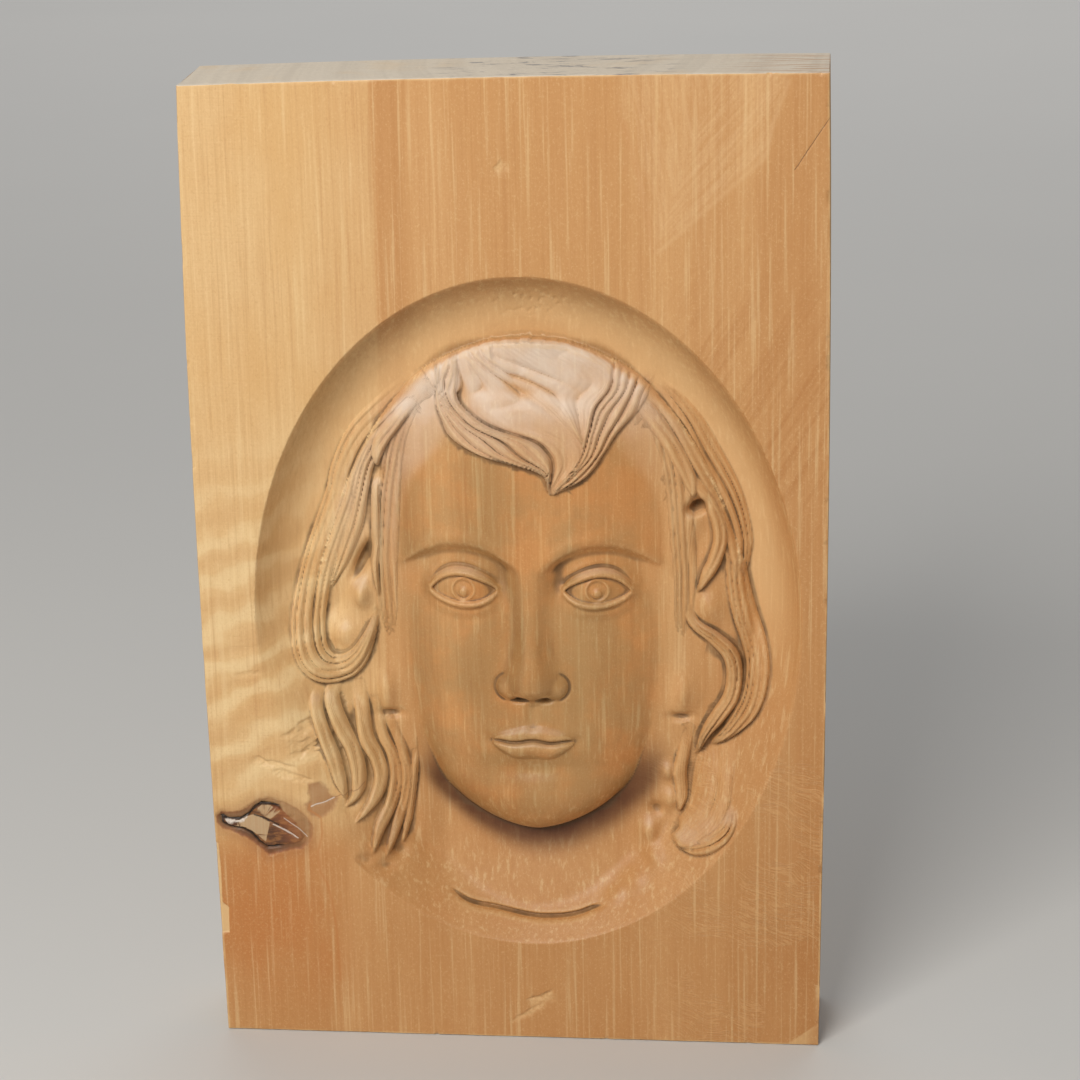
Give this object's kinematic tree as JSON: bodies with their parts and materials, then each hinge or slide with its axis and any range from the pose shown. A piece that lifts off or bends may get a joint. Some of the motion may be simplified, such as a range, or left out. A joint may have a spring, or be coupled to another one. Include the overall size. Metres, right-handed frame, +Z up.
{
  "type": "carved wall panel",
  "caption": "Thick upright board of pale wood with a long-haired head carved in low relief inside an oval dish, flat at the back",
  "frame": {"origin": "the middle of the board's flat back, on the face that lies against the wall", "axes": "+X to the right of someone who looks at the carving, +Y into the wall, +Z up; the carved face looks along -Y"},
  "size_m": [0.2537, 0.0451, 0.4073],
  "materials": {
    "wood": "satin, waxed, with a darker hand patina on the carving"
  },
  "bodies": {
    "root": {"carved_panel": "wood"}
  },
  "joints": []
}
